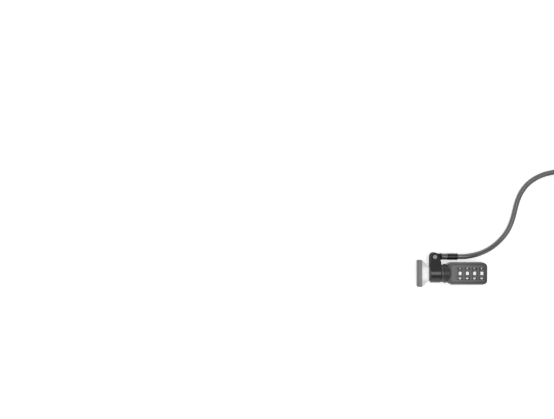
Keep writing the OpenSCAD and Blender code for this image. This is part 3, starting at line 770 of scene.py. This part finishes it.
strapPoints = evenly(strapLine(), strap["spacing"])
for _ in range(strap["smoothings"]):
    threes = zip(strapPoints, strapPoints[1:], strapPoints[2:])
    inside = [tuple((a + 2 * b + c) / 4 for a, b, c in zip(*three)) for three in threes]
    strapPoints = [strapPoints[0], *inside, strapPoints[-1]]
strapLength = strap["spacing"] * (len(strapPoints) - 1)
outwards = Vector((math.cos(strap["angle"]), math.sin(strap["angle"]), 0))
sideways = Vector((-math.sin(strap["angle"]), math.cos(strap["angle"]), 0))
strapRings = []
strapLengths = []
strapWidths = []
for i, (r, z) in enumerate(strapPoints):
    before, after = strapPoints[max(i - 1, 0)], strapPoints[min(i + 1, len(strapPoints) - 1)]
    ahead = Vector((after[0] - before[0], after[1] - before[1])).normalized()
    normal = Vector((-ahead.y, ahead.x))
    travelled = strap["spacing"] * i
    half = strap["width"] / 2
    for size, rate in strap["edgeWaves"]:
        half += size * math.sin(travelled * rate)
    toTip = strapLength - travelled
    for fromEnd, rounding in ((travelled, strap["startRound"]), (toTip, strap["tipRound"])):
        if fromEnd < rounding:
            half -= rounding - math.sqrt(rounding**2 - (rounding - fromEnd) ** 2)
    ring = []
    across = []
    for k in range(strap["sides"]):
        angle = 2 * math.pi * k / strap["sides"]
        wide = half * powered(math.cos(angle), strap["widePower"])
        thick = strap["thickness"] / 2 * powered(math.sin(angle), strap["thickPower"])
        high = Vector((0, 0, z + normal.y * thick))
        ring.append(byCoil(outwards * (r + normal.x * thick) + sideways * wide + high))
        across.append(wide)
    strapRings.append(ring)
    strapLengths.append(travelled)
    strapWidths.append([*across, across[0]])
cableStrap = loftMesh("cableStrap", strapRings, strapLengths, strapWidths)
cableStrap.data.materials.append(slotMaterials["tie"])
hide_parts("coil_tie")
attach(cableStrap, "cable_end")
print("ferrule and strap ready")


# The return spring, wound from wire, with its end turns closed
spring = {
    "wire": 0.0006,
    "radius": 0.0028,
    "turns": 3.5,
    "closedTurns": 0.6,
    "endWires": 0.52,
    "turnSteps": 40,
    "travel": 0.0015,
}
springLow, springHigh = (corner[0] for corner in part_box("return_spring"))
springRoom = springHigh - springLow - 2 * spring["endWires"] * spring["wire"]
openTurns = spring["turns"] - 2 * spring["closedTurns"]
openPitch = (springRoom - 2 * spring["closedTurns"] * spring["wire"]) / openTurns
springCurve = bpy.data.curves.new("returnSpring", "CURVE")
springCurve.dimensions = "3D"
springCurve.bevel_depth = spring["wire"] / 2
springCurve.bevel_resolution = 3
springCurve.use_fill_caps = True
springLine = springCurve.splines.new("POLY")
springSteps = round(spring["turns"] * spring["turnSteps"])
springLine.points.add(springSteps)
for k, point in enumerate(springLine.points):
    turn = k / spring["turnSteps"]
    opened = min(max(turn - spring["closedTurns"], 0), openTurns)
    closed = spring["endWires"] + turn - opened
    x = springLow + spring["wire"] * closed + openPitch * opened
    angle = 2 * math.pi * turn
    point.co = (x, spring["radius"] * math.cos(angle), spring["radius"] * math.sin(angle), 1)
returnSpring = bpy.data.objects.new("returnSpring", springCurve)
scene.collection.objects.link(returnSpring)
bpy.ops.object.select_all(action="DESELECT")
bpy.context.view_layer.objects.active = returnSpring
returnSpring.select_set(True)
bpy.ops.object.convert(target="MESH")
returnSpring = bpy.context.object
bpy.ops.object.shade_smooth_by_angle(angle=smoothBelow)
returnSpring.data.materials.clear()
returnSpring.data.materials.append(slotMaterials["steel"])
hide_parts("return_spring")
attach(returnSpring, "lock_body")
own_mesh(returnSpring)
print("return spring ready")


# The foam behind the adapter, cut to its plate's outline, pressed out a little at the sides
foam = {
    "corner": 0.0015,
    "rim": 0.00018,
    "bulge": 0.00016,
    "bulgeCuts": (-0.3, 0, 0.3),
    "film": 0.0005,
    "filmStep": 0.00004,
}
foamLow, foamHigh = (Vector(corner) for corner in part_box("adapter_pad"))
foamMiddle = (foamLow + foamHigh) / 2
foamSize = foamHigh - foamLow
coreY, coreZ = (size - 2 * foam["bulge"] for size in (foamSize.y, foamSize.z))
bpy.ops.object.select_all(action="DESELECT")
bpy.ops.mesh.primitive_cube_add(size=1, location=foamMiddle, scale=(foamSize.x, coreY, coreZ))
foamPad = bpy.context.object
foamPad.name = "foamPad"
bpy.ops.object.transform_apply(location=True, scale=True)
bpy.ops.object.mode_set(mode="EDIT")
bpy.ops.mesh.select_all(action="DESELECT")
edited = bmesh.from_edit_mesh(foamPad.data)
for edge in edited.edges:
    edge.select_set(abs(edge.verts[0].co.x - edge.verts[1].co.x) > foamSize.x / 2)
bmesh.update_edit_mesh(foamPad.data)
bpy.ops.mesh.bevel(offset=foam["corner"], segments=8, affect="EDGES")
pickVertices(foamPad, lambda place: abs(place.x - foamMiddle.x) > foamSize.x / 2 - closeBy)
bpy.ops.mesh.bevel(offset=foam["rim"], segments=3, affect="EDGES")
for share in foam["bulgeCuts"]:
    cut = foamMiddle.x + share * foamSize.x
    bpy.ops.mesh.select_all(action="SELECT")
    bpy.ops.mesh.bisect(plane_co=(cut, 0, 0), plane_no=(1, 0, 0))
    pickVertices(foamPad, lambda place: abs(place.x - cut) < closeBy)
    pressed = 2 * foam["bulge"] * (1 - (share / 0.5) ** 2)
    bpy.ops.transform.resize(
        value=(1, 1 + pressed / coreY, 1 + pressed / coreZ),
        center_override=(cut, foamMiddle.y, foamMiddle.z),
    )
edited = bmesh.from_edit_mesh(foamPad.data)
for face in edited.faces:
    face.select_set(face.normal.x < -0.99 and face.calc_area() > foamSize.y * foamSize.z / 2)
bmesh.update_edit_mesh(foamPad.data)
bpy.ops.mesh.inset(thickness=foam["film"], depth=-foam["filmStep"])
bpy.ops.object.mode_set(mode="OBJECT")
bpy.ops.object.shade_smooth_by_angle(angle=smoothBelow)
foamPad.data.materials.append(slotMaterials["foam"])
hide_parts("adapter_pad")
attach(foamPad, "lock_body")
print("foam pad ready")


# The digits on the dials: thin closed pieces, which stand a little out of the rim that they wrap.
# bold, thick and merge are in the font's own units, where a line of text is 1 high
numerals = {
    "width": 0.0031,
    "height": 0.0029,
    "widest": 1.25,
    "bold": 0.05,
    "lift": 0.00003,
    "sunk": 0.00006,
    "thick": 0.01,
    "merge": 0.0004,
    "curveSteps": 3,
    "cuts": 8,
    "cutSlack": 0.000004,
    "count": 10,
    "resting": 8,
    "restTurn": math.radians(2),
}
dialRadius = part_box("dial_1")[1][2]


def wrapNumeral(digit, dialNumber):
    # Flat text, scaled, cut across so that it can bend, and laid round the dial
    bpy.ops.object.text_add()
    words = bpy.context.object
    words.name = f"numeral{dialNumber}_{digit}"
    words.data.body = str(digit)
    words.data.offset = numerals["bold"]
    words.data.align_x = "CENTER"
    words.data.align_y = "CENTER"
    words.data.resolution_u = numerals["curveSteps"]
    words.data.extrude = numerals["thick"]
    bpy.ops.object.convert(target="MESH")
    numeral = bpy.context.object
    points = [v.co for v in numeral.data.vertices]
    low = Vector((min(p.x for p in points), min(p.y for p in points), 0))
    high = Vector((max(p.x for p in points), max(p.y for p in points), 0))
    middle = (low + high) / 2
    tall = numerals["height"] / (high.y - low.y)
    wide = min(numerals["width"] / (high.x - low.x), tall * numerals["widest"])
    shape = bmesh.new()
    shape.from_mesh(numeral.data)
    bmesh.ops.remove_doubles(shape, verts=shape.verts, dist=numerals["merge"])
    bmesh.ops.recalc_face_normals(shape, faces=shape.faces)
    for vertex in shape.verts:
        vertex.co.x = (vertex.co.x - middle.x) * wide
        vertex.co.y = (vertex.co.y - middle.y) * tall
        vertex.co.z = numerals["lift"] if vertex.co.z > 0 else -numerals["sunk"]
    for k in range(1, numerals["cuts"]):
        height = numerals["height"] * (k / numerals["cuts"] - 0.5)
        bmesh.ops.bisect_plane(
            shape, geom=shape.verts[:] + shape.edges[:] + shape.faces[:], dist=numerals["cutSlack"],
            plane_co=(0, height, 0), plane_no=(0, 1, 0),
        )
    dialX = nodeMiddle(f"dial_{dialNumber}").x
    turn = 2 * math.pi * (digit - numerals["resting"]) / numerals["count"] + numerals["restTurn"]
    for vertex in shape.verts:
        radius = dialRadius + vertex.co.z
        angle = vertex.co.y / dialRadius + turn
        vertex.co = (dialX + vertex.co.x, radius * math.sin(angle), radius * math.cos(angle))
    shape.to_mesh(numeral.data)
    shape.free()
    numeral.data.materials.clear()
    numeral.data.materials.append(whiteInk)
    return numeral


dialBodies = ["first_dial", "second_dial", "third_dial", "fourth_dial"]
for dialNumber, body in enumerate(dialBodies, start=1):
    for digit in range(numerals["count"]):
        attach(wrapNumeral(digit, dialNumber), body)
print("numerals ready")


desk = {
    "size": 6,
    "gap": 0.0002,
    "shade": 0.93,
    "roughness": 0.9,
    "specular": 0.1,
    "glow": 0.4,
}
bpy.ops.mesh.primitive_plane_add(size=desk["size"], location=(0, 0, deskZ - desk["gap"]))
floor = bpy.context.object
floor.name = "paleFloor"
floorMaterial, floorTree, floorShader = newMaterial("paleFloor")
setInputs(floorShader, {"Base Color": (desk["shade"], desk["shade"], desk["shade"], 1)})
setInputs(floorShader, {"Roughness": desk["roughness"], "Specular IOR Level": desk["specular"]})
# A light table for the camera and for reflections, which gives the object itself no more light
setInputs(floorShader, {"Emission Color": (1, 1, 1, 1)})
rays = addNode(floorTree, "ShaderNodeLightPath").outputs
seen = maths(floorTree, "MAXIMUM", rays["Is Camera Ray"], rays["Is Glossy Ray"])
glow = maths(floorTree, "MULTIPLY", seen, desk["glow"])
floorTree.links.new(glow, floorShader.inputs["Emission Strength"])
floor.data.materials.append(floorMaterial)
print("floor ready")

# A light tent: bright walls and a dim top, so that faces turned up stay dark. Each stop is a height
# on the sky's ball, from 0 at the horizon to 1 straight above, and a share of the brightest
tent = {
    "brightest": 1.75,
    "stops": [(0.07, 1.0), (0.39, 0.83), (0.574, 0.43), (0.743, 0.2), (1.0, 0.2)],
}
world = bpy.data.worlds.new("lightTent")
scene.world = world
world.use_nodes = True
sky = world.node_tree
direction = addNode(sky, "ShaderNodeTexCoord").outputs["Generated"]
stops = [(place, (shade, shade, shade)) for place, shade in tent["stops"]]
walls = ramp(sky, axes(sky, direction)["Z"], stops)
sky.links.new(walls, sky.nodes["Background"].inputs["Color"])
setInputs(sky.nodes["Background"], {"Strength": tent["brightest"]})


def softBox(name, place, size, power, target):
    light = bpy.data.lights.new(name, "AREA")
    light.shape = "RECTANGLE"
    light.size, light.size_y = size
    light.energy = power
    lamp = bpy.data.objects.new(name, light)
    scene.collection.objects.link(lamp)
    lamp.location = place
    aim = Vector(target) - Vector(place)
    lamp.rotation_euler = aim.to_track_quat("-Z", "Y").to_euler()


overhead = {"place": (0.17, 0.05, 1.3), "size": (0.8, 0.45), "power": 5.4, "target": (0.03, 0, 0)}
softBox("overheadSoftBox", **overhead)
print("light ready")
